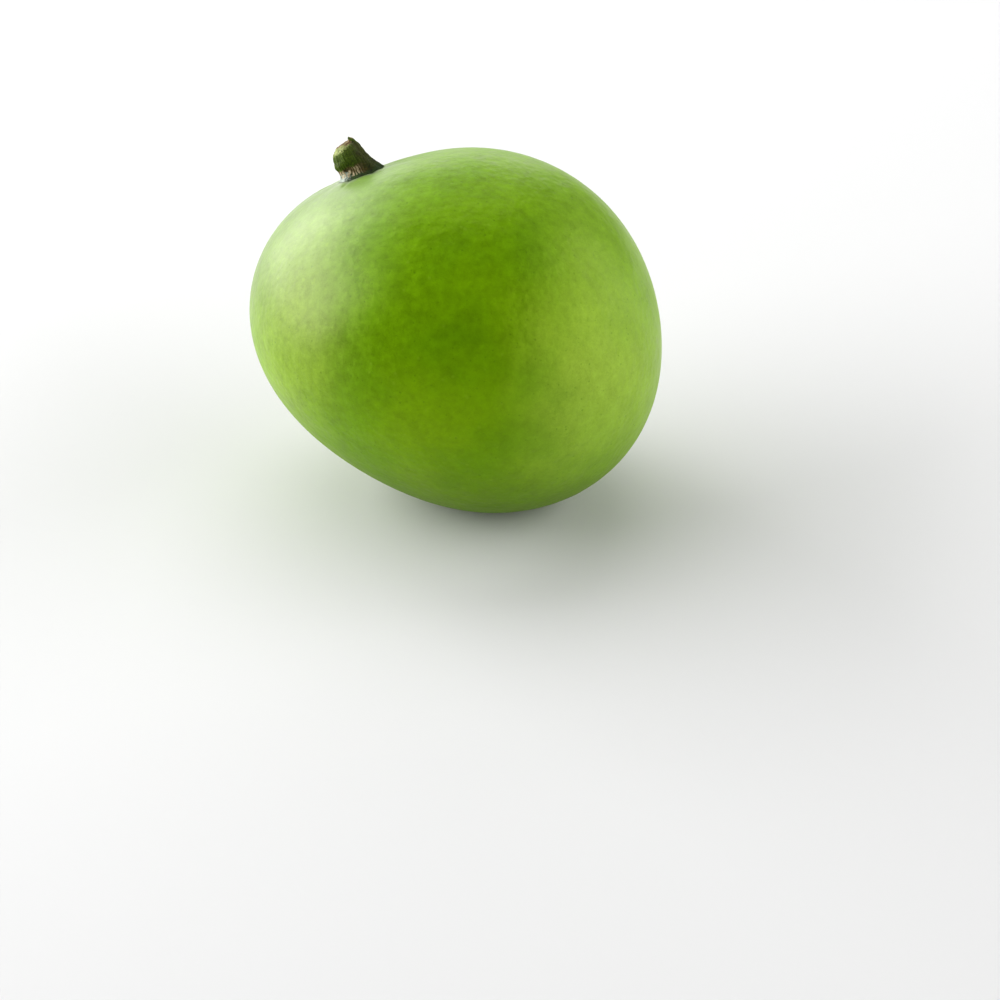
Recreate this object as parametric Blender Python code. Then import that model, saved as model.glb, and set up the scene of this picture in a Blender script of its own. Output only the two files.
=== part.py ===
"""A whole green mango with the woody stub of its stalk, as it rests on a table. Metres, +Z up.

The fruit is one solid and the stub is another, rooted in a shallow socket in the fruit. Both are worked
out with the stalk pointing up and the broad face towards -Y, and then leaned over together into the pose in
which the fruit rests on a small flat spot. The origin is on the table, below the middle of the object's box.
"""

import math

import bmesh
import bpy
import numpy as np
from mathutils import Matrix, Vector

MM = 0.001

# The fruit's diameters. The first two lie in the broad face, which also holds the stalk and the apex.
LONG_DIAMETER = 88.0 * MM
SHORT_DIAMETER = 75.2 * MM
THICKNESS = 77.5 * MM
MEAN_RADIUS = (LONG_DIAMETER + SHORT_DIAMETER) / 4
LONG_AXIS_LEAN = math.radians(36.8)  # from the stalk to the long diameter, towards the high shoulder at -X

# Three low lobes round the broad face: two shoulders and the apex, with flatter stretches between them
LOBE_HEIGHT = 1.2 * MM
LOBE_TURN = math.radians(22.5)  # the first lobe, up from +X

# Faint unevenness of the whole skin
UNEVEN_HEIGHT = 0.11 * MM
UNEVEN_WAVES = 5.0
CROSS_WAVES = 2.0

# The dimple in which the stalk grows, deepest on its +X side, and the small beak at the other end
DIMPLE_DEPTH = 1.5 * MM
DIMPLE_RADIUS = 13.5 * MM
DIMPLE_SHIFT = 3.8 * MM
PUCKER_DEPTH = 0.2 * MM
PUCKER_RADIUS = 7.5 * MM
PUCKERS = 9
BEAK_HEIGHT = 0.45 * MM
BEAK_RADIUS = 3.0 * MM

# The stub of the stalk, measured up from the skin
STUB_RADIUS = 2.9 * MM
FLARE_WIDTH = 1.75 * MM
FLARE_HEIGHT = 1.2 * MM
FLARE_SKEW = 0.35  # wider and higher on the +X side by this share, and less so on the other
KNOB_SWELL = 0.5 * MM
KNOB_HEIGHT = 3.9 * MM
KNOB_LENGTH = 1.25 * MM
END_START = 4.7 * MM
END_HEIGHT = 2.5 * MM
END_ROUNDING = 0.8
STUB_BEND = 0.9 * MM  # how far the end has grown towards +X
BEND_POWER = 1.3

# Bark: ribs up the side, lumps of two and three round it, and the wood's rings and pith in the cut end
BARK_RIBS = 9
RIB_DEPTH = 0.13 * MM
RIB_TWIST = 2.0 * MM
TRIPLE_LUMP = 0.16 * MM
TRIPLE_TWIST = 1.1 * MM
DOUBLE_LUMP = 0.12 * MM
DOUBLE_TWIST = 1.7 * MM
RING_PITCH = 1.1 * MM
RING_DEPTH = 0.13 * MM
PITH_DEPTH = 0.35 * MM
PITH_RADIUS = 0.55 * MM

# A small broken twig on the cut end's +X side
NUB_HEIGHT = 1.1 * MM
NUB_RADIUS = 0.75 * MM
NUB_FROM_MIDDLE = 2.3 * MM

# The stub's root in its socket
ROOT_RADIUS = 2.5 * MM
ROOT_LENGTH = 2.2 * MM
FIT_GAP = 0.3 * MM
SOCKET_DEPTH = ROOT_LENGTH + FIT_GAP

# The pose: the stalk leans to the left and back, and the underside is pressed flat
LEAN_LEFT = math.radians(33.8)
LEAN_BACK = math.radians(21.5)
FLAT_DEPTH = 1.5 * MM

FRUIT_SIDES = 72
FRUIT_RINGS = 44
RING_CROWDING = 0.6
STUB_SIDES = 36
UNDERSIDE_RINGS = 4
SIDE_RINGS = 14
SIDE_CROWDING = 1.3
END_RINGS = 13
SHARP_ANGLE = math.radians(40)
WELD_DISTANCE = 1e-7


def skin_radius(direction):
    """Distance from the fruit's middle to its skin along unit vectors.

    An ellipsoid whose long axis leans away from the stalk, raised by a wave with three lobes round the broad
    face and by the beak, lowered by the dimple, puckered round the stalk, and faintly uneven all over.
    """
    x, y, z = direction[..., 0], direction[..., 1], direction[..., 2]
    along = z * math.cos(LONG_AXIS_LEAN) - x * math.sin(LONG_AXIS_LEAN)
    across = x * math.cos(LONG_AXIS_LEAN) + z * math.sin(LONG_AXIS_LEAN)
    reach = np.sqrt(
        (along / (LONG_DIAMETER / 2)) ** 2 + (across / (SHORT_DIAMETER / 2)) ** 2 + (y / (THICKNESS / 2)) ** 2
    )
    lobes = ((x + 1j * z) ** 3 * np.exp(-3j * LOBE_TURN)).real
    ellipsoid = 1 / reach + LOBE_HEIGHT * lobes
    return ellipsoid + unevenness(x, y, z) + stalk_end(x, y, z) + beak(x, y, z)


def unevenness(x, y, z):
    """Low waves that cross each other all over the skin."""
    level = np.sin(UNEVEN_WAVES * x + CROSS_WAVES * y) * np.sin(UNEVEN_WAVES * y - CROSS_WAVES * z)
    return UNEVEN_HEIGHT * (level + np.sin(UNEVEN_WAVES * z + CROSS_WAVES * x))


def stalk_end(x, y, z):
    """The dimple, and the shallow puckers that run out from the stalk."""
    from_dimple = np.hypot(x * MEAN_RADIUS - DIMPLE_SHIFT, y * MEAN_RADIUS) / DIMPLE_RADIUS
    from_stalk = np.hypot(x, y) * MEAN_RADIUS / PUCKER_RADIUS
    round_stalk = np.arctan2(y, x)
    folds = np.cos(PUCKERS * round_stalk + np.sin(2 * round_stalk))
    pucker = PUCKER_DEPTH * folds * from_stalk**2 * np.exp(-(from_stalk**2))
    return np.where(z > 0, pucker - DIMPLE_DEPTH * np.exp(-(from_dimple**2)), 0.0)


def beak(x, y, z):
    """The low point at the end away from the stalk."""
    from_apex = np.hypot(x, y) * MEAN_RADIUS / BEAK_RADIUS
    return np.where(z < 0, BEAK_HEIGHT * np.exp(-(from_apex**2)), 0.0)


def directions(from_stalk, round_stalk):
    """Unit vectors at angles from the stalk's axis, +Z, and round it."""
    tilt, turn = np.broadcast_arrays(from_stalk, round_stalk)
    return np.stack([np.sin(tilt) * np.cos(turn), np.sin(tilt) * np.sin(turn), np.cos(tilt)], axis=-1)


def skin(from_stalk, round_stalk, lift=0.0):
    """Points on the skin, or above it by lift."""
    direction = directions(from_stalk, round_stalk)
    return direction * (skin_radius(direction) + lift)[..., None]


def closed_mesh(name, rings, first_pole, last_pole):
    """A closed mesh: rings of points with four-sided faces between them, and a fan to a pole at each end."""
    count, sides = rings.shape[:2]
    points = np.concatenate([rings.reshape(-1, 3), [first_pole, last_pole]])
    here = np.arange(sides)
    following = (here + 1) % sides
    faces = [(count * sides, b, a) for a, b in zip(here, following)]
    for ring in range(count - 1):
        low, high = ring * sides, (ring + 1) * sides
        faces += [(low + a, low + b, high + b, high + a) for a, b in zip(here, following)]
    last = (count - 1) * sides
    faces += [(count * sides + 1, last + a, last + b) for a, b in zip(here, following)]
    mesh = bpy.data.meshes.new(name)
    mesh.from_pydata(points.tolist(), [], [tuple(int(i) for i in face) for face in faces])
    flesh = bmesh.new()
    flesh.from_mesh(mesh)
    bmesh.ops.recalc_face_normals(flesh, faces=flesh.faces)
    flesh.to_mesh(mesh)
    flesh.free()
    return mesh


def fruit_rings():
    """Rings from the socket's floor up its wall and out over the skin to the apex, closer at both ends."""
    around = np.linspace(0, 2 * math.pi, FRUIT_SIDES, endpoint=False)
    socket_angle = math.asin((ROOT_RADIUS + FIT_GAP) / np.linalg.norm(skin(np.array(0.0), np.array(0.0))))
    share = np.linspace(0, 1, FRUIT_RINGS, endpoint=False)
    eased = share - RING_CROWDING * np.sin(2 * math.pi * share) / (2 * math.pi)
    angles = socket_angle + (math.pi - socket_angle) * eased
    outside = skin(angles[:, None], around[None, :])
    floor = outside[0].copy()
    floor[:, 2] = outside[0][:, 2].mean() - SOCKET_DEPTH
    return np.concatenate([floor[None], outside])


def stub_side(rise, around):
    """Radius of the stub's side, rise above its rim: flared at the skin, swollen below its end, and rough."""
    skew = 1 + FLARE_SKEW * np.cos(around)
    flare = FLARE_WIDTH * skew * np.exp(-rise / (FLARE_HEIGHT * skew))
    knob = KNOB_SWELL * np.exp(-(((rise - KNOB_HEIGHT) / KNOB_LENGTH) ** 2))
    ribs = RIB_DEPTH * np.cos(BARK_RIBS * around + np.sin(2 * around) + rise / RIB_TWIST)
    triple = TRIPLE_LUMP * np.cos(3 * around + rise / TRIPLE_TWIST)
    double = DOUBLE_LUMP * np.cos(2 * around - rise / DOUBLE_TWIST)
    return STUB_RADIUS + flare + knob + ribs + triple + double


def end_relief(radius, around):
    """Height of the relief on the cut end: rings of wood round a small pit, and the twig."""
    rings = -RING_DEPTH * np.cos(2 * math.pi * radius / RING_PITCH + np.sin(around))
    pith = PITH_DEPTH * np.exp(-((radius / PITH_RADIUS) ** 2))
    from_nub = np.hypot(radius * np.cos(around) - NUB_FROM_MIDDLE, radius * np.sin(around))
    nub = NUB_HEIGHT * np.exp(-((from_nub / NUB_RADIUS) ** 4))
    return rings - pith + nub


def stub_underside(around, skin_top):
    """Rings from the root's tip up to the skin and out under the flare, clear of the fruit all the way."""
    root_angle = math.asin(ROOT_RADIUS / skin_top)
    rim_angle = np.arcsin(stub_side(0.0, around) / skin_top)
    shares = np.linspace(0, 1, UNDERSIDE_RINGS)
    out = [skin(root_angle + (rim_angle - root_angle) * share, around, FIT_GAP) for share in shares]
    tip = out[0].copy()
    tip[:, 2] = skin_top - ROOT_LENGTH
    return [tip, *out]


def stub_outside(around, rim_height):
    """Radius and height of each ring from the flare's rim up the side and in over the cut end."""
    rings = []
    for share in np.linspace(0, 1, SIDE_RINGS + 1)[1:]:
        rise = END_START * share**SIDE_CROWDING
        rings.append((stub_side(rise, around), rim_height * (1 - share) + rise))
    widest = rings[-1][0]
    for turn in np.linspace(0, math.pi / 2, END_RINGS + 1)[1:-1]:
        radius = widest * math.cos(turn) ** END_ROUNDING
        rings.append((radius, END_START + (END_HEIGHT + end_relief(radius, around)) * math.sin(turn)))
    return rings


def stub_rings():
    """Rings of the stub's whole surface, with its two poles."""
    around = np.linspace(0, 2 * math.pi, STUB_SIDES, endpoint=False)
    skin_top = float(skin(np.array(0.0), np.array(0.0))[2])
    underside = stub_underside(around, skin_top)
    points = []
    for radius, height in stub_outside(around, underside[-1][:, 2] - skin_top):
        bend = STUB_BEND * (np.clip(height, 0, None) / (END_START + END_HEIGHT)) ** BEND_POWER
        x = radius * np.cos(around) + bend
        y = radius * np.sin(around)
        points.append(np.stack([x, y, skin_top + height], axis=-1))
    end = skin_top + END_START + END_HEIGHT + float(end_relief(0.0, 0.0))
    root = Vector((0.0, 0.0, skin_top - ROOT_LENGTH))
    return np.stack([*underside, *points]), root, Vector((STUB_BEND, 0.0, end))


def rest_rotation():
    """Turns the stalk from straight up to the pose of rest: to the left first, and then back."""
    return Matrix.Rotation(-LEAN_BACK, 3, "X") @ Matrix.Rotation(-LEAN_LEFT, 3, "Y")


def press_flat(mesh, down, level):
    """Cuts the mesh at a level along down, and closes it with one flat face."""
    flesh = bmesh.new()
    flesh.from_mesh(mesh)
    cut = bmesh.ops.bisect_plane(
        flesh,
        geom=flesh.verts[:] + flesh.edges[:] + flesh.faces[:],
        dist=WELD_DISTANCE,
        plane_co=down * level,
        plane_no=down,
        clear_outer=True,
    )
    edges = [item for item in cut["geom_cut"] if isinstance(item, bmesh.types.BMEdge)]
    bmesh.ops.contextual_create(flesh, geom=edges)
    bmesh.ops.recalc_face_normals(flesh, faces=flesh.faces)
    flesh.to_mesh(mesh)
    flesh.free()


def material(name, colour, roughness):
    """A plain surface with no metal in it."""
    made = bpy.data.materials.new(name)
    made.use_nodes = True
    shader = made.node_tree.nodes["Principled BSDF"]
    shader.inputs["Base Color"].default_value = (*colour, 1.0)
    shader.inputs["Roughness"].default_value = roughness
    shader.inputs["Metallic"].default_value = 0.0
    return made


def place(name, mesh, surface, pose):
    """One named object, smooth except over sharp edges, held by the pose."""
    mesh.materials.append(surface)
    mesh.shade_smooth()
    mesh.set_sharp_from_angle(angle=SHARP_ANGLE)
    made = bpy.data.objects.new(name, mesh)
    bpy.context.scene.collection.objects.link(made)
    made.parent = pose
    return made


def main():
    """Makes both meshes stalk up, and parents them to an empty that holds them in the pose of rest."""
    for old in list(bpy.data.objects):
        bpy.data.objects.remove(old)

    turn = rest_rotation()
    down = turn.transposed() @ Vector((0, 0, -1))

    rings = fruit_rings()
    socket_floor = Vector((0.0, 0.0, float(rings[0][:, 2].mean())))
    apex = Vector(skin(np.array(math.pi), np.array(0.0)))
    fruit = closed_mesh("fruit", rings, socket_floor, apex)
    lowest = max(down.dot(v.co) for v in fruit.vertices)
    table = lowest - FLAT_DEPTH
    press_flat(fruit, down, table)

    stub = closed_mesh("stem", *stub_rings())

    posed = [turn @ v.co for mesh in (fruit, stub) for v in mesh.vertices]
    middle = [(min(p[axis] for p in posed) + max(p[axis] for p in posed)) / 2 for axis in (0, 1)]
    pose = bpy.data.objects.new("rest_pose", None)
    bpy.context.scene.collection.objects.link(pose)
    pose.matrix_world = Matrix.Translation((-middle[0], -middle[1], table)) @ turn.to_4x4()

    place("fruit", fruit, material("mango skin", (0.16, 0.31, 0.01), 0.42), pose)
    place("stem", stub, material("stalk bark", (0.11, 0.085, 0.03), 0.8), pose)


main()
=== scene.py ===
import math

import bpy
import numpy as np
from mathutils import Matrix, Vector


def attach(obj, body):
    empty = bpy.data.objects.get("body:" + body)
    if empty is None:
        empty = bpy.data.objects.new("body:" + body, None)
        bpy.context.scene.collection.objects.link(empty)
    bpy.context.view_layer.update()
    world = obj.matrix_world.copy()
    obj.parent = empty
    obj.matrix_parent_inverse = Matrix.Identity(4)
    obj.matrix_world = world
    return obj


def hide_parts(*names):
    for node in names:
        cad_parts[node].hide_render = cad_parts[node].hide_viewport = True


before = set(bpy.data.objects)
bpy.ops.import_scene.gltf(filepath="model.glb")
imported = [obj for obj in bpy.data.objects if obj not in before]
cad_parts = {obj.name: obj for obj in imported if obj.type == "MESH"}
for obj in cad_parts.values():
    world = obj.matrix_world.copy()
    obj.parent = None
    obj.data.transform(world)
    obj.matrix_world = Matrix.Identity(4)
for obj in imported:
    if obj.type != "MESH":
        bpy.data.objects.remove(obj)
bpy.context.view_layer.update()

# ---------------------------------------------------------------------------------------------------------
# The fruit: one unpeeled green mango, grown whole, with firm flesh under a smooth waxy skin. It is nearly round,
# with a high shoulder beside the stalk, and lies on a small flat spot, leaning left and back. Lengths are in m.

MM = 0.001
LONG_DIAMETER = 88.0 * MM
SHORT_DIAMETER = 75.2 * MM
THICKNESS = 77.5 * MM
MEAN_RADIUS = (LONG_DIAMETER + SHORT_DIAMETER) / 4
LONG_AXIS_LEAN = math.radians(36.8)  # from the stalk towards the high shoulder at -X
LOBES = 3
LOBE_HEIGHT = 1.2 * MM
LOBE_TURN = math.radians(22.5)
UNEVEN_HEIGHT = 0.11 * MM
UNEVEN_WAVES = 5.0
CROSS_WAVES = 2.0
DIMPLE_DEPTH = 1.5 * MM
DIMPLE_RADIUS = 13.5 * MM
DIMPLE_SHIFT = 3.8 * MM
PUCKER_DEPTH = 0.2 * MM
PUCKER_RADIUS = 7.5 * MM
PUCKERS = 9
BEAK_HEIGHT = 0.45 * MM
BEAK_RADIUS = 3.0 * MM
ROOT_RADIUS = 2.5 * MM
ROOT_LENGTH = 2.2 * MM
SOCKET_GAP = 0.3 * MM

LEAN_LEFT = math.radians(33.8)
LEAN_BACK = math.radians(21.5)
FRUIT_MIDDLE = np.array([1.292, -0.071, 37.625]) * MM  # where the middle of its own frame lies
FLAT_SOFTNESS = 0.18 * MM  # how gently the skin turns into the flat spot
SKIN_SINK = 0.02 * MM  # the smooth skin lies this deep, so that it stays inside the faceted solid's box

CREASES = (  # the angle of each round the stalk, then its depth and how far out it reaches, in millimetres
    (0.25, 0.26, 11.5),
    (0.75, 0.14, 9.0),
    (2.9, 0.22, 10.0),
    (4.3, 0.16, 8.5),
    (5.4, 0.12, 8.0),
    (1.75, 0.14, 8.0),
)
CREASE_WIDTH = 0.5 * MM
CREASE_START = 3.6 * MM
CREASE_START_FADE = 0.3 * MM
CREASE_END_FADE = 0.6 * MM

SKIN_SIDES = 400
SKIN_RINGS = 232
RING_CROWDING = 0.7  # how much closer the rings lie at both ends


def skin_radius(direction):
    """Distance from the fruit's middle to its skin along unit vectors.

    One over the ellipsoid's reach, plus three low lobes round the broad face, low waves all over, the puckered
    dimple at the stalk and the low beak at the other end.
    """
    x, y, z = direction[..., 0], direction[..., 1], direction[..., 2]
    along = z * math.cos(LONG_AXIS_LEAN) - x * math.sin(LONG_AXIS_LEAN)
    across = x * math.cos(LONG_AXIS_LEAN) + z * math.sin(LONG_AXIS_LEAN)
    reach = np.sqrt(
        (along / (LONG_DIAMETER / 2)) ** 2 + (across / (SHORT_DIAMETER / 2)) ** 2 + (y / (THICKNESS / 2)) ** 2
    )
    lobes = ((x + 1j * z) ** LOBES * np.exp(-1j * LOBES * LOBE_TURN)).real
    waves = np.sin(UNEVEN_WAVES * x + CROSS_WAVES * y) * np.sin(UNEVEN_WAVES * y - CROSS_WAVES * z)
    waves = waves + np.sin(UNEVEN_WAVES * z + CROSS_WAVES * x)
    from_apex = np.hypot(x, y) * MEAN_RADIUS / BEAK_RADIUS
    beak = np.where(z < 0, BEAK_HEIGHT * np.exp(-(from_apex**2)), 0.0)
    return 1 / reach + LOBE_HEIGHT * lobes + UNEVEN_HEIGHT * waves + stalk_end(x, y, z) + beak


def stalk_end(x, y, z):
    """The dimple, a bell curve, with puckers that are a cosine round the stalk and narrow straight creases."""
    from_dimple = np.hypot(x * MEAN_RADIUS - DIMPLE_SHIFT, y * MEAN_RADIUS) / DIMPLE_RADIUS
    from_stalk = np.hypot(x, y) * MEAN_RADIUS
    round_stalk = np.arctan2(y, x)
    folds = np.cos(PUCKERS * round_stalk + np.sin(2 * round_stalk))
    ring = from_stalk / PUCKER_RADIUS
    relief = PUCKER_DEPTH * folds * ring**2 * np.exp(-(ring**2)) - DIMPLE_DEPTH * np.exp(-(from_dimple**2))
    for angle, depth, crease_reach in CREASES:
        aside = np.abs(np.sin((round_stalk - angle) / 2)) * 2 * from_stalk / CREASE_WIDTH
        begins = 1 / (1 + np.exp(-(from_stalk - CREASE_START) / CREASE_START_FADE))
        ends = 1 / (1 + np.exp((from_stalk - crease_reach * MM) / CREASE_END_FADE))
        relief = relief - depth * MM * np.exp(-(aside**2)) * begins * ends
    return np.where(z > 0, relief, 0.0)


def directions(from_stalk, round_stalk):
    """Unit vectors at angles from the stalk's axis, +Z in the fruit's own frame, and round it."""
    tilt, turn = np.broadcast_arrays(from_stalk, round_stalk)
    return np.stack([np.sin(tilt) * np.cos(turn), np.sin(tilt) * np.sin(turn), np.cos(tilt)], axis=-1)


def skin(from_stalk, round_stalk, lift=0.0):
    """Points on the skin in the fruit's own frame, or above it by lift."""
    direction = directions(from_stalk, round_stalk)
    return direction * (skin_radius(direction) + lift)[..., None]


def as_it_lies(points):
    """Points of the fruit's own frame, turned and moved to where the fruit lies."""
    turn = np.array(Matrix.Rotation(-LEAN_BACK, 3, "X") @ Matrix.Rotation(-LEAN_LEFT, 3, "Y"))
    return points @ turn.T + FRUIT_MIDDLE


def closed_surface(name, rings, first_pole, last_pole, marks):
    """A closed mesh object from an array of rings: four-sided faces between rings, and a fan to each pole.

    marks holds one number for each point and pole, for the material to read, under the name it goes by.
    """
    count, sides = rings.shape[:2]
    points = np.concatenate([rings.reshape(-1, 3), [first_pole, last_pole]])
    here = np.arange(sides)
    following = (here + 1) % sides
    base = (np.arange(count - 1) * sides)[:, None]
    walls = np.stack([base + here, base + following, base + sides + following, base + sides + here], axis=-1)
    last = (count - 1) * sides
    start_fan = np.stack([np.full(sides, count * sides), following, here], axis=-1)
    end_fan = np.stack([np.full(sides, count * sides + 1), last + here, last + following], axis=-1)
    corners = np.concatenate([walls.reshape(-1), start_fan.reshape(-1), end_fan.reshape(-1)])
    sizes = np.concatenate([np.full(walls.size // 4, 4), np.full(2 * sides, 3)])
    mesh = bpy.data.meshes.new(name)
    mesh.vertices.add(len(points))
    mesh.vertices.foreach_set("co", points.reshape(-1))
    mesh.loops.add(len(corners))
    mesh.loops.foreach_set("vertex_index", corners)
    mesh.polygons.add(len(sizes))
    mesh.polygons.foreach_set("loop_start", np.concatenate([[0], np.cumsum(sizes)[:-1]]))
    for mark, values in marks.items():
        mesh.attributes.new(mark, "FLOAT", "POINT").data.foreach_set("value", values.astype(np.float32))
    mesh.update(calc_edges=True)
    mesh.validate()
    mesh.shade_smooth()
    made = bpy.data.objects.new(name, mesh)
    bpy.context.scene.collection.objects.link(made)
    return made


around = np.linspace(0, 2 * math.pi, SKIN_SIDES, endpoint=False)
stalk_foot = float(skin(np.array(0.0), np.array(0.0))[2])
socket_angle = math.asin((ROOT_RADIUS + SOCKET_GAP) / stalk_foot)
share = np.linspace(0, 1, SKIN_RINGS, endpoint=False)
eased = share - RING_CROWDING * np.sin(2 * math.pi * share) / (2 * math.pi)
skin_rings = skin((socket_angle + (math.pi - socket_angle) * eased)[:, None], around[None, :], -SKIN_SINK)
socket_floor = skin_rings[0].copy()
socket_floor[:, 2] = skin_rings[0][:, 2].mean() - ROOT_LENGTH - SOCKET_GAP
own_rings = np.concatenate([socket_floor[None], skin_rings])
own_poles = np.array([[0.0, 0.0, socket_floor[0, 2]], skin(np.array(math.pi), np.array(0.0), -SKIN_SINK)])
own_points = np.concatenate([own_rings.reshape(-1, 3), own_poles])

# What would lie below the floor is pressed up into the flat spot
lying_rings = as_it_lies(own_rings)
lying_poles = as_it_lies(own_poles)
lying_rings[..., 2] = FLAT_SOFTNESS * np.logaddexp(0, lying_rings[..., 2] / FLAT_SOFTNESS)

fruit = closed_surface(
    "fruit_skin",
    lying_rings,
    lying_poles[0],
    lying_poles[1],
    {
        "along_stalk": own_points[:, 2] / MEAN_RADIUS,
        "from_axis": np.hypot(own_points[:, 0], own_points[:, 1]) / MM,
        "round_axis": np.arctan2(own_points[:, 1], own_points[:, 0]),
    },
)


def new_material(name):
    """An empty node material, with its node tree and its Principled shader."""
    made = bpy.data.materials.new(name)
    made.use_nodes = True
    tree = made.node_tree
    return made, tree, tree.nodes["Principled BSDF"]


def add(tree, kind, inputs=None, **settings):
    """One node, with its settings and its inputs: each input is a number, a colour or another node's socket."""
    node = tree.nodes.new(kind)
    for setting, value in settings.items():
        setattr(node, setting, value)
    for socket, value in (inputs or {}).items():
        if isinstance(value, bpy.types.NodeSocket):
            tree.links.new(value, node.inputs[socket])
        else:
            node.inputs[socket].default_value = value
    return node


def calc(tree, operation, *values):
    """The result of one Math node."""
    return add(tree, "ShaderNodeMath", dict(enumerate(values)), operation=operation).outputs[0]


def total(tree, first, *others):
    """The sum of several values."""
    for other in others:
        first = calc(tree, "ADD", first, other)
    return first


def all_of(tree, first, *others):
    """Several masks multiplied, so that the result is full only where all of them are."""
    for other in others:
        first = calc(tree, "MULTIPLY", first, other)
    return first


def span(tree, value, low, high, to_low=0.0, to_high=1.0):
    """A value carried smoothly from one span onto another, 0 to 1 if none is given, and held at both ends."""
    inputs = {"Value": value, "From Min": low, "From Max": high, "To Min": to_low, "To Max": to_high}
    return add(tree, "ShaderNodeMapRange", inputs, interpolation_type="SMOOTHSTEP").outputs[0]


def blend(tree, factor, first, second):
    """Two colours mixed by a factor."""
    node = add(tree, "ShaderNodeMix", data_type="RGBA")
    for socket, value in ((node.inputs[0], factor), (node.inputs[6], first), (node.inputs[7], second)):
        if isinstance(value, bpy.types.NodeSocket):
            tree.links.new(value, socket)
        else:
            socket.default_value = value
    return node.outputs[2]


def scaled(tree, vector, factor):
    """A colour or a place with its three numbers multiplied by a factor."""
    return add(tree, "ShaderNodeVectorMath", {0: vector, "Scale": factor}, operation="SCALE").outputs[0]


def cloud(tree, place, scale, detail, roughness):
    """A noise value round 0.5, with scale in waves per millimetre."""
    inputs = {"Vector": place, "Scale": scale, "Detail": detail, "Roughness": roughness}
    return add(tree, "ShaderNodeTexNoise", inputs).outputs[0]


def swayed(tree, value, noise, amount):
    """A value moved up and down by a noise round 0.5, by half the amount at most."""
    return calc(tree, "MULTIPLY_ADD", calc(tree, "SUBTRACT", noise, 0.5), amount, value)


def millimetres(tree):
    """The point's place in millimetres, as the fruit lies: to the right, to the back and up."""
    return scaled(tree, add(tree, "ShaderNodeTexCoord").outputs["Object"], 1 / MM)


def mark(tree, name):
    """A number that the mesh carries at each point."""
    return add(tree, "ShaderNodeAttribute", attribute_name=name).outputs["Fac"]


SMALLEST_DOT = 0.25  # a dot's radius is between this share of the given one and 1 more
DOT_EDGE = (1.3, 0.5)  # where the mask is 0 and 1, in radii from the dot's middle
NO_DOT = 0.001  # a radius below this counts as this, so that nothing is divided by zero


def dots_group():
    """A node group: soft round dots of uneven size, one at most in each cell of a random grid.

    The mask is 1 at the dot's middle and falls to 0 a little outside its radius, which differs from cell to cell.
    """
    tree = bpy.data.node_groups.new("scattered dots", "ShaderNodeTree")
    for name, kind in (("Place", "Vector"), ("Cells", "Float"), ("Radius", "Float")):
        tree.interface.new_socket(name=name, in_out="INPUT", socket_type="NodeSocket" + kind)
    tree.interface.new_socket(name="Mask", in_out="OUTPUT", socket_type="NodeSocketFloat")
    given = tree.nodes.new("NodeGroupInput").outputs
    cell = add(tree, "ShaderNodeTexVoronoi", {"Vector": given["Place"], "Scale": given["Cells"]})
    unlike = add(tree, "ShaderNodeSeparateColor", {"Color": cell.outputs["Color"]}).outputs[0]
    radius = calc(tree, "MULTIPLY", given["Radius"], calc(tree, "ADD", SMALLEST_DOT, unlike))
    distance = calc(tree, "DIVIDE", cell.outputs["Distance"], calc(tree, "MAXIMUM", radius, NO_DOT))
    add(tree, "NodeGroupOutput", {"Mask": span(tree, distance, *DOT_EDGE)})
    return tree


def dots(tree, place, cells, radius):
    """The mask of the scattered dots: cells per millimetre, and a radius as a share of a cell."""
    node = add(tree, "ShaderNodeGroup", node_tree=scattered_dots)
    tree.links.new(place, node.inputs["Place"])
    node.inputs["Cells"].default_value = cells
    node.inputs["Radius"].default_value = radius
    return node.outputs["Mask"]


scattered_dots = dots_group()

# Colours
DEEP_GREEN = (0.125, 0.275, 0.0010, 1.0)
LEAF_GREEN = (0.160, 0.315, 0.0010, 1.0)
YELLOW_GREEN = (0.220, 0.370, 0.0020, 1.0)
# Paler flanks, a greyer shoulder and yellow cheeks: partly the skin's tone and bloom, partly painted sheen and
# light
EDGE_GREEN_AND_SHEEN = (0.213, 0.362, 0.034, 1.0)
SHOULDER_BLOOM_AND_SHEEN = (0.146, 0.236, 0.028, 1.0)
LIT_CHEEK_YELLOW = (0.307, 0.450, 0.062, 1.0)
# Painted shade: darker greens for the back and the underside
BACK_SHADE_GREEN = (0.110, 0.215, 0.006, 1.0)
UNDERSIDE_SHADE_GREEN = (0.085, 0.175, 0.0010, 1.0)
# Round the stalk: partly waxy bloom, partly painted sheen of the left box
STALK_BLOOM_AND_SHEEN = (0.180, 0.285, 0.080, 1.0)
STALK_GREY = (0.300, 0.350, 0.250, 1.0)
PALE_DOT = (0.240, 0.400, 0.030, 1.0)
DARK_DOT = (0.045, 0.130, 0.0010, 1.0)
SCAR_BROWN = (0.110, 0.075, 0.020, 1.0)
GLOSS_TINT = (0.85, 1.0, 0.12, 1.0)
SHEEN_TINT = (0.80, 1.0, 0.35, 1.0)

# Noises: waves per millimetre, detail and roughness
BROAD = (0.018, 1.5, 0.5)
PATCHY = (0.060, 3.0, 0.55)
BLOTCHY = (0.13, 2.0, 0.55)
MOTTLED = (0.45, 3.0, 0.65)
FLECKED = (1.3, 2.0, 0.55)
GRAINY = (3.0, 1.0, 0.6)
HOLLOWS = (0.20, 2.0, 0.6)
ORANGE_PEEL = (0.80, 3.0, 0.6)
PALE_PORES = (0.42, 0.15)  # cells per millimetre, and radius as a share of a cell
DARK_PORES = (0.62, 0.13)

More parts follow.
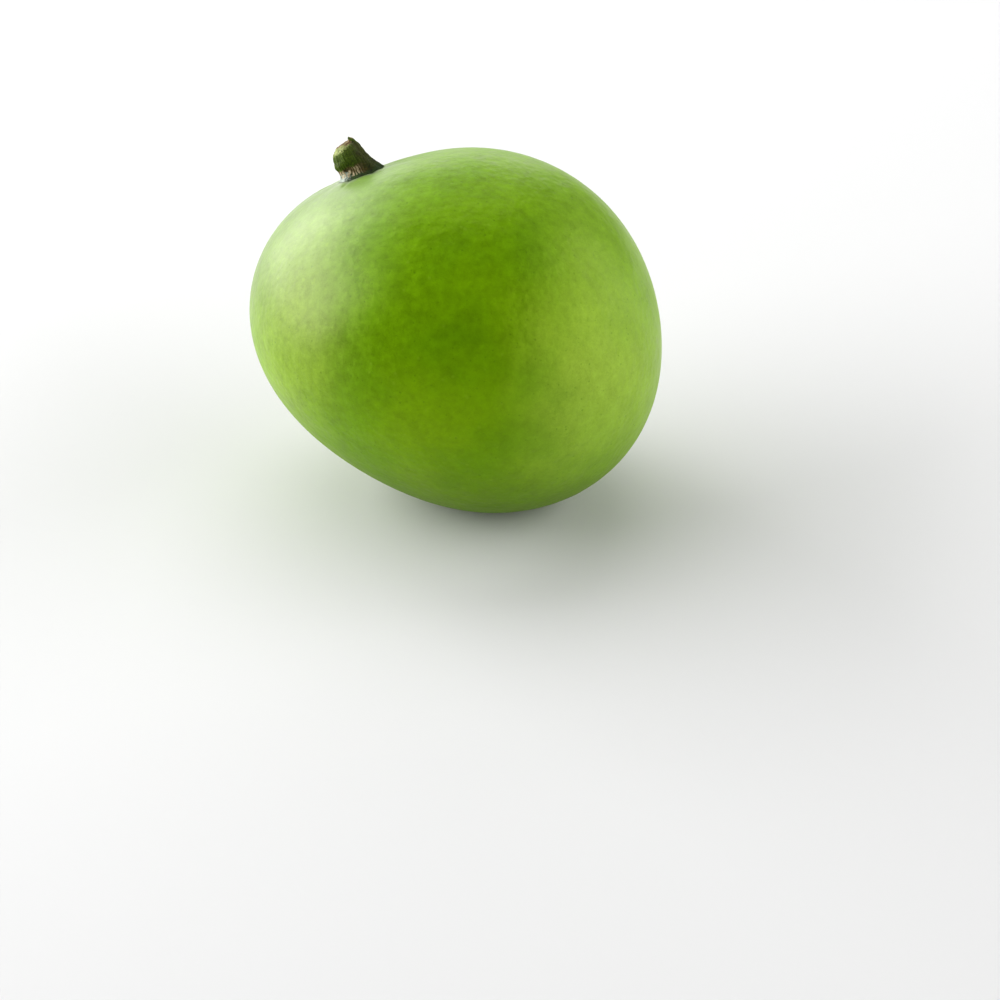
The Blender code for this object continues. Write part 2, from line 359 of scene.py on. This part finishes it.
# Where the colours set in and are full, and their strength if it isn't 1, in millimetres as the fruit lies. Along
# the stalk's axis it is a share of the mean radius, and patches are told by their noise.
BROAD_SWAY = 30.0
DRIFT_SWAY = 2.0
YELLOW_TO_LEAF = (-1.10, 0.10)
DEEP_PATCHES = (0.36, 0.68, 0.0, 0.7)
FACE_MIDDLE = -3.0
FACE_EDGE = (8.0, 34.0, 0.0, 0.75)
SHOULDER_ACROSS = (-20.0, -36.0)
SHOULDER_ABOVE = (36.0, 54.0)
LIT_CHEEKS = (((26.0, -25.0, 39.0), 24.0, 0.75), ((-33.0, -20.0, 41.0), 21.0, 0.55))  # middle, reach and strength
LIT_CHEEK_CORE = 2.0
LIT_CHEEK_SWAY = 14.0
BLOOM_AND_SHEEN_AT_STALK = (0.60, 1.0, 0.0, 0.6)
BACK_TURN = -0.3
BACK = (4.0, 32.0)
UNDERSIDE = (28.0, 4.0, 0.0, 0.75)
COLLAR = (7.0, 4.6)
COLLAR_STRENGTH = 0.7
COLLAR_SWAY = 3.5
RAYS = 7.0
RAY_SWAY = 9.0
RAY_LENGTH = 0.6
SCAR = (1.3, 0.5)
SCAR_STRENGTH = 0.8

# How much the noises lighten and darken the colours
MOTTLE_SHADE = (-0.5, 0.7, 0.40, 0.80)
BLOTCH_SHADE = 0.30
GRAIN_SHADE = (0.28, 0.72, -0.045, 0.045)
DARK_FLECKS = (0.44, 0.28, 0.0, -0.08)
PALE_FLECKS = (0.58, 0.74, 0.0, 0.08)
PALE_PORE_STRENGTH = 0.30
DARK_PORE_STRENGTH = 0.34

# Gloss, bloom and relief
SKIN_ROUGHNESS = 0.38
PATCH_ROUGHNESS = (0.3, 0.7, -0.03, 0.04)
MOTTLE_ROUGHNESS = (0.3, 0.7, -0.03, 0.03)
SCURF_ROUGHNESS = 0.2
UNDERSIDE_ROUGHNESS = (34.0, 12.0, 0.0, 0.14)
BLOOM_SWAY = 12.0
BLOOM_SLOPE = -0.8
BLOOM_ACROSS = (-7.0, -21.0)
BLOOM_THIN = (-41.0, -25.0, 0.5, 1.0)
BLOOM_ABOVE = (66.0, 80.0, 0.0, 0.8)
HOLLOW_DEPTH = 0.24  # these four in millimetres
PEEL_DEPTH = 0.065
PALE_PORE_HEIGHT = 0.010
DARK_PORE_HEIGHT = -0.012

skin_material, tree, shader = new_material("waxy green mango skin")
place = millimetres(tree)
across, behind, above = add(tree, "ShaderNodeSeparateXYZ", {0: place}).outputs
broad = cloud(tree, place, *BROAD)
patchy = cloud(tree, place, *PATCHY)
blotchy = cloud(tree, place, *BLOTCHY)
mottle = cloud(tree, place, *MOTTLED)
flecked = cloud(tree, place, *FLECKED)
grain = cloud(tree, place, *GRAINY)
toward_stalk = mark(tree, "along_stalk")
from_axis = mark(tree, "from_axis")
round_axis = mark(tree, "round_axis")

# Deep green over most of the fruit, yellower towards the beak and on the sides, in drifting patches. The paler
# flanks, shoulder, cheeks and stalk end are partly painted sheen and light, and the darker back and underside are
# painted shade
drift = swayed(tree, toward_stalk, broad, DRIFT_SWAY)
colour = blend(tree, span(tree, drift, *YELLOW_TO_LEAF), YELLOW_GREEN, LEAF_GREEN)
colour = blend(tree, span(tree, patchy, *DEEP_PATCHES), colour, DEEP_GREEN)
# Paler, whiter green on the left and right flanks, where the side boxes fall: partly the skin's tone, partly
# painted sheen
from_face_middle = calc(tree, "ABSOLUTE", calc(tree, "SUBTRACT", across, FACE_MIDDLE))
edge = swayed(tree, from_face_middle, broad, BROAD_SWAY)
colour = blend(tree, span(tree, edge, *FACE_EDGE), colour, EDGE_GREEN_AND_SHEEN)
# Greyer green on the left shoulder: partly waxy bloom, partly painted so the left box's highlight reads grey-white
shoulder_edge = swayed(tree, across, broad, BROAD_SWAY)
on_shoulder = all_of(tree, span(tree, shoulder_edge, *SHOULDER_ACROSS), span(tree, above, *SHOULDER_ABOVE))
colour = blend(tree, on_shoulder, colour, SHOULDER_BLOOM_AND_SHEEN)
# Yellow cheeks on the front flanks: partly the skin's own sun cheeks, partly painted light where the side boxes
# fall
for lit_cheek, reach, strength in LIT_CHEEKS:
    from_lit_cheek = add(tree, "ShaderNodeVectorMath", {0: place, 1: lit_cheek}, operation="DISTANCE").outputs["Value"]
    from_lit_cheek = swayed(tree, from_lit_cheek, patchy, LIT_CHEEK_SWAY)
    colour = blend(tree, span(tree, from_lit_cheek, reach, LIT_CHEEK_CORE, 0.0, strength), colour, LIT_CHEEK_YELLOW)
# Paler, whiter green round the stalk end: partly waxy bloom, partly painted sheen of the left box
colour = blend(tree, span(tree, toward_stalk, *BLOOM_AND_SHEEN_AT_STALK), colour, STALK_BLOOM_AND_SHEEN)
# Painted shade: the back is darkened to offset the bright back and side boxes
round_back = calc(tree, "MULTIPLY_ADD", across, BACK_TURN, swayed(tree, behind, broad, BROAD_SWAY))
colour = blend(tree, span(tree, round_back, *BACK), colour, BACK_SHADE_GREEN)
# Painted shade: the skin is darkened towards the floor, on the underside
colour = blend(tree, span(tree, above, *UNDERSIDE), colour, UNDERSIDE_SHADE_GREEN)

# Mottling, grain and pores
shade = swayed(tree, 1.0, mottle, span(tree, toward_stalk, *MOTTLE_SHADE))
shade = swayed(tree, shade, blotchy, BLOTCH_SHADE)
shade = total(
    tree,
    shade,
    span(tree, grain, *GRAIN_SHADE),
    span(tree, flecked, *DARK_FLECKS),
    span(tree, flecked, *PALE_FLECKS),
)
colour = scaled(tree, colour, shade)
pale_pores = dots(tree, place, *PALE_PORES)
dark_pores = dots(tree, place, *DARK_PORES)
colour = blend(tree, calc(tree, "MULTIPLY", pale_pores, PALE_PORE_STRENGTH), colour, PALE_DOT)
colour = blend(tree, calc(tree, "MULTIPLY", dark_pores, DARK_PORE_STRENGTH), colour, DARK_DOT)

# The pale grey scurf round the stalk, drawn out in rays, and the scar at the beak
rays = calc(tree, "SINE", calc(tree, "MULTIPLY_ADD", patchy, RAY_SWAY, calc(tree, "MULTIPLY", round_axis, RAYS)))
collar_edge = swayed(tree, calc(tree, "MULTIPLY_ADD", rays, RAY_LENGTH, from_axis), flecked, COLLAR_SWAY)
at_stalk = calc(tree, "GREATER_THAN", toward_stalk, 0.0)
collar = all_of(tree, span(tree, collar_edge, *COLLAR), at_stalk)
colour = blend(tree, calc(tree, "MULTIPLY", collar, COLLAR_STRENGTH), colour, STALK_GREY)
scar = all_of(tree, span(tree, from_axis, *SCAR), calc(tree, "SUBTRACT", 1.0, at_stalk))
colour = blend(tree, calc(tree, "MULTIPLY", scar, SCAR_STRENGTH), colour, SCAR_BROWN)

roughness = total(
    tree,
    span(tree, patchy, *PATCH_ROUGHNESS),
    SKIN_ROUGHNESS,
    calc(tree, "MULTIPLY", calc(tree, "MAXIMUM", collar, scar), SCURF_ROUGHNESS),
    span(tree, mottle, *MOTTLE_ROUGHNESS),
    span(tree, above, *UNDERSIDE_ROUGHNESS),
)

# The bloom, a thin coat of wax, lies on the shoulder and thins out over the broad face and to the left
bloom_edge = swayed(tree, across, patchy, BLOOM_SWAY)
bloom_line = calc(tree, "MULTIPLY_ADD", bloom_edge, BLOOM_SLOPE, above)
bloom = all_of(
    tree,
    span(tree, bloom_edge, *BLOOM_ACROSS),
    span(tree, bloom_line, *BLOOM_ABOVE),
    span(tree, bloom_edge, *BLOOM_THIN),
)

# Relief, in millimetres: faint hollows, fine orange-peel and pores
hollows = calc(tree, "MULTIPLY", cloud(tree, place, *HOLLOWS), HOLLOW_DEPTH)
peel = calc(tree, "MULTIPLY", cloud(tree, place, *ORANGE_PEEL), PEEL_DEPTH)
pitted = calc(tree, "MULTIPLY", dark_pores, DARK_PORE_HEIGHT)
pitted = calc(tree, "MULTIPLY_ADD", pale_pores, PALE_PORE_HEIGHT, pitted)
relief = total(tree, hollows, peel, pitted)
bump = add(tree, "ShaderNodeBump", {"Height": relief, "Strength": 1.0, "Distance": MM})

tree.links.new(colour, shader.inputs["Base Color"])
tree.links.new(roughness, shader.inputs["Roughness"])
tree.links.new(bump.outputs[0], shader.inputs["Normal"])
tree.links.new(bloom, shader.inputs["Coat Weight"])
shader.inputs["Coat Roughness"].default_value = 0.42
shader.inputs["IOR"].default_value = 1.45
shader.inputs["Specular Tint"].default_value = GLOSS_TINT
shader.inputs["Sheen Weight"].default_value = 0.06
shader.inputs["Sheen Roughness"].default_value = 0.5
shader.inputs["Sheen Tint"].default_value = SHEEN_TINT

fruit.data.materials.append(skin_material)
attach(fruit, "root")
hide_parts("fruit")

# ---------------------------------------------------------------------------------------------------------
# The stub of the stalk: dead wood, rooted in the dimple and cut off short. It flares out onto the skin, swells
# into a knob below the cut, and its bark is ribbed and cracked. The cut end shows rings round a small pit, and
# the stump of a twig.

STUB_RADIUS = 2.9 * MM
FLARE_WIDTH = 1.75 * MM
FLARE_HEIGHT = 1.2 * MM
FLARE_SKEW = 0.35  # how much wider and higher the flare is on the upper side
NECK_SWELL = 1.25 * MM  # on the upper side, where the neck runs straight down to the flare's tip
NECK_START = 1.6 * MM
NECK_END = 3.2 * MM
KNOB_SWELL = 0.5 * MM
KNOB_HEIGHT = 3.9 * MM
KNOB_LENGTH = 1.25 * MM
END_START = 4.7 * MM
END_HEIGHT = 2.5 * MM
END_ROUNDING = 0.8
STUB_BEND = 0.9 * MM
BEND_POWER = 1.3
BARK_RIBS = 9
RIB_DEPTH = 0.13 * MM
RIB_TWIST = 2.0 * MM
TRIPLE_LUMP = 0.16 * MM
TRIPLE_TWIST = 1.1 * MM
DOUBLE_LUMP = 0.12 * MM
DOUBLE_TWIST = 1.7 * MM
RING_PITCH = 1.1 * MM
RING_DEPTH = 0.13 * MM
PITH_DEPTH = 0.35 * MM
PITH_RADIUS = 0.55 * MM
TWIG_HEIGHT = 1.08 * MM
TWIG_RADIUS = 0.75 * MM
TWIG_FROM_MIDDLE = 2.3 * MM
STEEPNESS = 4  # the power that gives the twig and the neck's top steep sides
FLARE_LIFT = 0.04 * MM  # the flare's rim lies this close over the skin

CRACK_DEPTH = 0.11 * MM
CRACKS = 24
CRACK_SEED = 5
CRACK_TURNS = (4, 26)
CRACK_CLIMB = 1.6 / MM
CRACK_LEVEL = 0.5  # what stays of the waves' height once they are folded
STUB_SIDES = 300
UNDERSIDE_RINGS = 10
SIDE_RINGS = 90
SIDE_CROWDING = 1.3
END_RINGS = 70


def stub_side(rise, around):
    """Radius of the stub's side, rise above its rim.

    A flare that dies away from the skin, a fuller neck on the upper side, a bell-shaped knob, and the cosines of
    the ribs and of a threefold and a twofold lump, which twist as they rise.
    """
    skew = 1 + FLARE_SKEW * np.cos(around)
    flare = FLARE_WIDTH * skew * np.exp(-rise / (FLARE_HEIGHT * skew))
    neck = NECK_SWELL * np.clip(np.cos(around), 0, None)
    neck = neck * (1 - np.exp(-rise / NECK_START)) * np.exp(-((rise / NECK_END) ** STEEPNESS))
    knob = KNOB_SWELL * np.exp(-(((rise - KNOB_HEIGHT) / KNOB_LENGTH) ** 2))
    ribs = RIB_DEPTH * np.cos(BARK_RIBS * around + np.sin(2 * around) + rise / RIB_TWIST)
    triple = TRIPLE_LUMP * np.cos(3 * around + rise / TRIPLE_TWIST)
    double = DOUBLE_LUMP * np.cos(2 * around - rise / DOUBLE_TWIST)
    return STUB_RADIUS + flare + neck + knob + ribs + triple + double


def bark_cracks(rise, around):
    """Depth of the bark's fine cracks: waves with seeded random turns and phases, summed and folded sharp."""
    draw = np.random.default_rng(CRACK_SEED)
    level = np.zeros(np.broadcast(rise, around).shape)
    for wave in range(CRACKS):
        turns = draw.integers(*CRACK_TURNS)
        climb = draw.normal(0, CRACK_CLIMB)
        level = level + np.cos(turns * around + climb * rise + draw.uniform(0, 2 * math.pi)) / math.sqrt(CRACKS)
    return CRACK_DEPTH * (np.abs(level) - CRACK_LEVEL)


def twig_share(radius, around):
    """The stump of the twig on the cut end: 1 on its top, falling steeply to 0 round it."""
    from_twig = np.hypot(radius * np.cos(around) - TWIG_FROM_MIDDLE, radius * np.sin(around))
    return np.exp(-((from_twig / TWIG_RADIUS) ** STEEPNESS))


def end_relief(radius, around):
    """Height of the relief on the cut end: rings of wood round a small pit, and the twig."""
    rings = -RING_DEPTH * np.cos(2 * math.pi * radius / RING_PITCH + np.sin(around))
    pith = PITH_DEPTH * np.exp(-((radius / PITH_RADIUS) ** 2))
    return rings - pith + TWIG_HEIGHT * twig_share(radius, around)


# The underside, from the root in the dimple out to the flare's rim on the skin
around = np.linspace(0, 2 * math.pi, STUB_SIDES, endpoint=False)[None, :]
root_angle = math.asin(ROOT_RADIUS / stalk_foot)
rim_angle = np.arcsin(stub_side(0.0, around) / stalk_foot)
out = np.linspace(0, 1, UNDERSIDE_RINGS)[:, None]
underside = skin(root_angle + (rim_angle - root_angle) * out, around, FLARE_LIFT)
root_tip = underside[:1].copy()
root_tip[..., 2] = stalk_foot - ROOT_LENGTH

# The side, whose rings pass from the skin's slope at the rim to level ones at the cut end
rise = (END_START * np.linspace(0, 1, SIDE_RINGS + 1)[1:] ** SIDE_CROWDING)[:, None]
worn = np.clip(rise / FLARE_HEIGHT, 0, 1)
side_radius = stub_side(rise, around) + bark_cracks(rise, around) * worn
side_height = (underside[-1:, :, 2] - stalk_foot) * (1 - rise / END_START) + rise

# The rounded cut end, and the bend of the whole stub
turn = np.linspace(0, math.pi / 2, END_RINGS + 1)[1:-1][:, None]
end_radius = side_radius[-1:] * np.cos(turn) ** END_ROUNDING
end_height = END_START + (END_HEIGHT + end_relief(end_radius, around)) * np.sin(turn)
end_height = end_height + bark_cracks(end_radius, around) * np.sin(turn) * np.cos(turn)
radius = np.concatenate([side_radius, end_radius])
height = np.concatenate([side_height, end_height])
bend = STUB_BEND * (np.clip(height, 0, None) / (END_START + END_HEIGHT)) ** BEND_POWER
outside = np.stack([radius * np.cos(around) + bend, radius * np.sin(around), stalk_foot + height], axis=-1)
stub_own = np.concatenate([root_tip, underside, outside])
end_middle = stalk_foot + END_START + END_HEIGHT + float(end_relief(0.0, 0.0))
stub_poles = np.array([[0.0, 0.0, stalk_foot - ROOT_LENGTH], [STUB_BEND, 0.0, end_middle]])

# What the material reads at each point: how far up the side, how far in on the cut end, and so on
below, beside, on_end = UNDERSIDE_RINGS + 1, SIDE_RINGS, END_RINGS - 1
every_ring = below + beside + on_end
climb = np.concatenate([np.zeros(below), (rise / END_START)[:, 0], np.ones(on_end)])
inward = np.concatenate([np.zeros(below + beside), 1 - np.cos(turn[:, 0]) ** END_ROUNDING])
crack_level = np.concatenate(
    [np.zeros((below, STUB_SIDES)), bark_cracks(rise, around), bark_cracks(end_radius, around)]
)
twig_mark = np.concatenate([np.zeros((below + beside, STUB_SIDES)), twig_share(end_radius, around)])

stub = closed_surface(
    "stalk_stub",
    as_it_lies(stub_own),
    *as_it_lies(stub_poles),
    {
        "climb": np.concatenate([np.repeat(climb, STUB_SIDES), [0.0, 1.0]]),
        "inward": np.concatenate([np.repeat(inward, STUB_SIDES), [0.0, 1.0]]),
        "upper_side": np.concatenate([np.tile(np.cos(around[0]), every_ring), [0.0, 0.0]]),
        "front_side": np.concatenate([np.tile(-np.sin(around[0]), every_ring), [0.0, 0.0]]),
        "cracks": np.concatenate([crack_level.reshape(-1) / CRACK_DEPTH, [0.0, 0.0]]),
        "twig": np.concatenate([twig_mark.reshape(-1), [0.0, 0.0]]),
    },
)

# Colours
FOOT_PALE = (0.390, 0.440, 0.380, 1.0)
FOOT_DARK = (0.030, 0.056, 0.010, 1.0)
NECK_BROWN = (0.082, 0.060, 0.010, 1.0)
# Tan of pale scabs, and painted highlights on the neck's ridges
NECK_TAN_AND_HIGHLIGHT = (0.500, 0.410, 0.270, 1.0)
KNOB_OLIVE = (0.066, 0.105, 0.004, 1.0)
KNOB_BROWN = (0.054, 0.060, 0.010, 1.0)
# Cream of the rim, and a painted highlight on its lit side
RIM_CREAM_AND_HIGHLIGHT = (0.330, 0.370, 0.140, 1.0)
WOOD_BROWN = (0.150, 0.100, 0.045, 1.0)
WOOD_PALE = (0.270, 0.205, 0.105, 1.0)
PITH_DARK = (0.030, 0.020, 0.012, 1.0)
CRACK_DARK = (0.014, 0.014, 0.006, 1.0)

# Noises: waves per millimetre, detail and roughness
SMUDGED = (0.7, 3.0, 0.6)
FLECKY = (3.5, 3.0, 0.65)

# Where the colours set in and are full, and their strength if it isn't 1. The upper, front and lower front sides
# run from -1 to 1, the climb from 0 at the rim to 1 at the cut, and inward from 0 there to 1 at the pit.
FRONT_SHARE = 0.7
SIDE_SWAY = 2.0
FOOT_UPPER = (-0.75, -0.1)
FOOT_BEHIND = (0.1, -0.6)
CLIMB_SWAY = 0.45
FOOT_TOP = (0.04, 0.13)
PALE_FOOT_CLIMB = (0.0, 1.1, 0.0, 0.24)
BACK_FOOT_CLIMB = (0.2, -0.8, 0.0, 0.12)
UPPER_SWAY = 1.5
NECK_UPPER = (0.1, 0.95, 0.0, 0.7)
SCABS_AND_HIGHLIGHTS_BETWEEN_CRACKS = (-0.15, 0.5)
SCABS_AND_HIGHLIGHTS_LOWER_FRONT = (-0.1, 0.8)
SCABS_AND_HIGHLIGHTS_START = (0.10, 0.16)
SCABS_AND_HIGHLIGHTS_END = (0.62, 0.38)
KNOB_UPPER = (0.1, 0.9)
KNOB_CLIMB = (0.44, 0.60)
RIM_SWAY = 0.35
RIM_OUTER = (0.08, 0.18)
RIM_INNER = (0.62, 0.44)
RIM_UPPER_SWAY = 1.8
RIM_UPPER = (0.55, -0.2)
RIM_FRONT = (-0.7, 0.2, 0.15, 1.0)
WOOD_RINGS = 30.0
WOOD_RING_SWAY = 7.0
WOOD_FLECK_SWAY = 3.0
WOOD_RING = (-0.6, 1.2)
WOOD_INWARD = (0.20, 0.36)
PITH_INWARD = (0.82, 0.93)
TWIG_TOP = (0.90, 0.99)
TWIG_SIDE = (0.15, 0.45)
IN_CRACKS = (-0.30, -0.5, 0.0, 0.85)
FLECK_SHADE = (0.3, 0.7, 0.65, 1.4)
BARK_ROUGHNESS = (0.3, 0.7, 0.60, 0.82)
FLECK_RELIEF = 0.10  # both in millimetres
SMUDGE_RELIEF = 0.15

bark_material, tree, shader = new_material("dry stalk bark")
place = millimetres(tree)
climbed = mark(tree, "climb")
inside = mark(tree, "inward")
cracks = mark(tree, "cracks")
upper_side = mark(tree, "upper_side")
front_side = mark(tree, "front_side")
twig = mark(tree, "twig")
smudge = cloud(tree, place, *SMUDGED)
fleck = cloud(tree, place, *FLECKY)
smudged_front = swayed(tree, front_side, smudge, SIDE_SWAY)
smudged_upper = swayed(tree, upper_side, smudge, UPPER_SWAY)
lower_front = calc(tree, "SUBTRACT", calc(tree, "MULTIPLY", front_side, FRONT_SHARE), upper_side)

# The foot is pale on the lower side, nearly black on the upper one and brown behind
foot = blend(tree, span(tree, swayed(tree, upper_side, smudge, SIDE_SWAY), *FOOT_UPPER), FOOT_PALE, FOOT_DARK)
foot = blend(tree, span(tree, smudged_front, *FOOT_BEHIND), foot, NECK_BROWN)
height_on_bark = swayed(tree, climbed, smudge, CLIMB_SWAY)
foot_edge = calc(tree, "SUBTRACT", height_on_bark, span(tree, lower_front, *PALE_FOOT_CLIMB))
foot_edge = calc(tree, "SUBTRACT", foot_edge, span(tree, lower_front, *BACK_FOOT_CLIMB))

# The neck is reddish brown, darker on its upper side, with tan on the ridges between the cracks on the lower front:
# partly pale scabs, partly painted highlights
neck = blend(tree, span(tree, smudged_upper, *NECK_UPPER), NECK_BROWN, FOOT_DARK)
colour = blend(tree, span(tree, foot_edge, *FOOT_TOP), foot, neck)
scab_and_highlight = all_of(
    tree,
    span(tree, cracks, *SCABS_AND_HIGHLIGHTS_BETWEEN_CRACKS),
    span(tree, lower_front, *SCABS_AND_HIGHLIGHTS_LOWER_FRONT),
    span(tree, climbed, *SCABS_AND_HIGHLIGHTS_START),
    span(tree, climbed, *SCABS_AND_HIGHLIGHTS_END),
)
colour = blend(tree, scab_and_highlight, colour, NECK_TAN_AND_HIGHLIGHT)

# The knob is olive, browner on its upper side
knob = blend(tree, span(tree, smudged_upper, *KNOB_UPPER), KNOB_OLIVE, KNOB_BROWN)
colour = blend(tree, span(tree, height_on_bark, *KNOB_CLIMB), colour, knob)

# The cut end has a cream rim, mostly on the lower front side where the light falls, partly its own colour and
# partly a painted highlight; brown wood with paler rings, and a dark pit
ragged = swayed(tree, inside, fleck, RIM_SWAY)
pale_rim_and_highlight = all_of(
    tree,
    span(tree, ragged, *RIM_OUTER),
    span(tree, ragged, *RIM_INNER),
    span(tree, swayed(tree, upper_side, smudge, RIM_UPPER_SWAY), *RIM_UPPER),
    span(tree, smudged_front, *RIM_FRONT),
)
ring_turns = swayed(tree, calc(tree, "MULTIPLY", inside, WOOD_RINGS), smudge, WOOD_RING_SWAY)
wood_ring = swayed(tree, calc(tree, "SINE", ring_turns), fleck, WOOD_FLECK_SWAY)
wood = blend(tree, span(tree, wood_ring, *WOOD_RING), WOOD_BROWN, WOOD_PALE)
colour = blend(tree, span(tree, inside, *WOOD_INWARD), colour, wood)
colour = blend(tree, pale_rim_and_highlight, colour, RIM_CREAM_AND_HIGHLIGHT)
colour = blend(tree, span(tree, inside, *PITH_INWARD), colour, PITH_DARK)

# The twig is olive bark round pale wood; then cracks and flecks lie over everything
twig_colour = blend(tree, span(tree, twig, *TWIG_TOP), KNOB_OLIVE, WOOD_PALE)
colour = blend(tree, span(tree, twig, *TWIG_SIDE), colour, twig_colour)
colour = blend(tree, span(tree, cracks, *IN_CRACKS), colour, CRACK_DARK)
colour = scaled(tree, colour, span(tree, fleck, *FLECK_SHADE))

relief = total(tree, calc(tree, "MULTIPLY", fleck, FLECK_RELIEF), calc(tree, "MULTIPLY", smudge, SMUDGE_RELIEF))
bump = add(tree, "ShaderNodeBump", {"Height": relief, "Strength": 1.0, "Distance": MM})
tree.links.new(colour, shader.inputs["Base Color"])
tree.links.new(span(tree, smudge, *BARK_ROUGHNESS), shader.inputs["Roughness"])
tree.links.new(bump.outputs[0], shader.inputs["Normal"])
shader.inputs["Specular IOR Level"].default_value = 0.3

stub.data.materials.append(bark_material)
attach(stub, "root")
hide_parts("stem")

# ---------------------------------------------------------------------------------------------------------
# The studio: a wide pale floor, soft boxes to the left, to the right, behind and overhead, and a long lens that
# looks down on the fruit.

FLOOR_SIZE = 6.0
FLOOR_FADE = (0.45, 0.85, 1.0, 0.0)  # between these distances from its middle, it fades into the white air
FLOOR_WHITE = (0.75, 0.75, 0.75, 1.0)

floor_mesh = bpy.data.meshes.new("studio_floor")
half = FLOOR_SIZE / 2
floor_mesh.from_pydata([(-half, -half, 0), (half, -half, 0), (half, half, 0), (-half, half, 0)], [], [(0, 1, 2, 3)])
floor = bpy.data.objects.new("studio_floor", floor_mesh)
bpy.context.scene.collection.objects.link(floor)
floor_material, tree, shader = new_material("matte white floor")
floor_place = add(tree, "ShaderNodeTexCoord").outputs["Object"]
from_middle = add(tree, "ShaderNodeVectorMath", {0: floor_place}, operation="LENGTH").outputs["Value"]
tree.links.new(span(tree, from_middle, *FLOOR_FADE), shader.inputs["Alpha"])
shader.inputs["Base Color"].default_value = FLOOR_WHITE
shader.inputs["Roughness"].default_value = 0.9
shader.inputs["Specular IOR Level"].default_value = 0.1
floor.data.materials.append(floor_material)

# Each soft box: azimuth and elevation in degrees, distance, width and height in metres, and power in watts
SOFT_BOXES = {
    "left_box": (-102, 19, 1.1, 1.85, 1.1, 24.5),
    "right_box": (78, 14, 1.2, 2.1, 1.4, 20.5),
    "back_box": (-168, 23, 1.2, 1.4, 0.8, 4.0),
    "low_box": (-168, 5, 1.2, 1.4, 0.35, 1.4),
    "top_box": (-170, 62, 1.2, 1.2, 0.7, 4.5),
}


def soft_box(name, azimuth, elevation, distance, width, height, power):
    """A rectangular area light that faces the fruit. Azimuth 0 is the camera's side, and 90 is the right."""
    side, up = math.radians(azimuth), math.radians(elevation)
    aim = Vector((math.sin(side) * math.cos(up), -math.cos(side) * math.cos(up), math.sin(up)))
    light = bpy.data.lights.new(name, "AREA")
    light.shape = "RECTANGLE"
    light.size = width
    light.size_y = height
    light.energy = power
    made = bpy.data.objects.new(name, light)
    made.location = Vector(FRUIT_MIDDLE) + aim * distance
    made.rotation_euler = aim.to_track_quat("Z", "Y").to_euler()
    made.visible_camera = False
    bpy.context.scene.collection.objects.link(made)


for name, setting in SOFT_BOXES.items():
    soft_box(name, *setting)

# The air is seen white, and lights the fruit only faintly
AIR_WHITE = (0.97, 0.97, 0.97, 1.0)
AIR_LIGHT = 0.08

world = bpy.data.worlds.new("studio_air")
world.use_nodes = True
tree = world.node_tree
seen = add(tree, "ShaderNodeLightPath").outputs["Is Camera Ray"]
tree.nodes["Background"].inputs["Color"].default_value = AIR_WHITE
tree.links.new(span(tree, seen, 0.0, 1.0, AIR_LIGHT, 1.0), tree.nodes["Background"].inputs["Strength"])
bpy.context.scene.world = world
bpy.context.scene.view_settings.view_transform = "Standard"
bpy.context.scene.view_settings.look = "Medium High Contrast"

CAMERA_DISTANCE = 0.951
CAMERA_ELEVATION = math.radians(30)
SENSOR_WIDTH = 36.0
FRAME_PIXELS = 1000
PIXEL = 0.2102 * MM  # what one of the frame's pixels spans at the fruit
AIM_RIGHT = 37.1 * PIXEL
AIM_DOWN = 172.9 * PIXEL

toward_camera = Vector((0, -math.cos(CAMERA_ELEVATION), math.sin(CAMERA_ELEVATION)))
camera_up = Vector((0, math.sin(CAMERA_ELEVATION), math.cos(CAMERA_ELEVATION)))
camera = bpy.data.objects.new("camera", bpy.data.cameras.new("camera"))
camera.data.sensor_width = SENSOR_WIDTH
camera.data.lens = SENSOR_WIDTH * CAMERA_DISTANCE / (FRAME_PIXELS * PIXEL)
camera.data.clip_start = 0.01
camera.location = Vector(FRUIT_MIDDLE) + toward_camera * CAMERA_DISTANCE
aim_point = Vector(FRUIT_MIDDLE) + Vector((AIM_RIGHT, 0, 0)) - camera_up * AIM_DOWN
camera.rotation_euler = (camera.location - aim_point).to_track_quat("Z", "Y").to_euler()
bpy.context.scene.collection.objects.link(camera)
bpy.context.scene.camera = camera
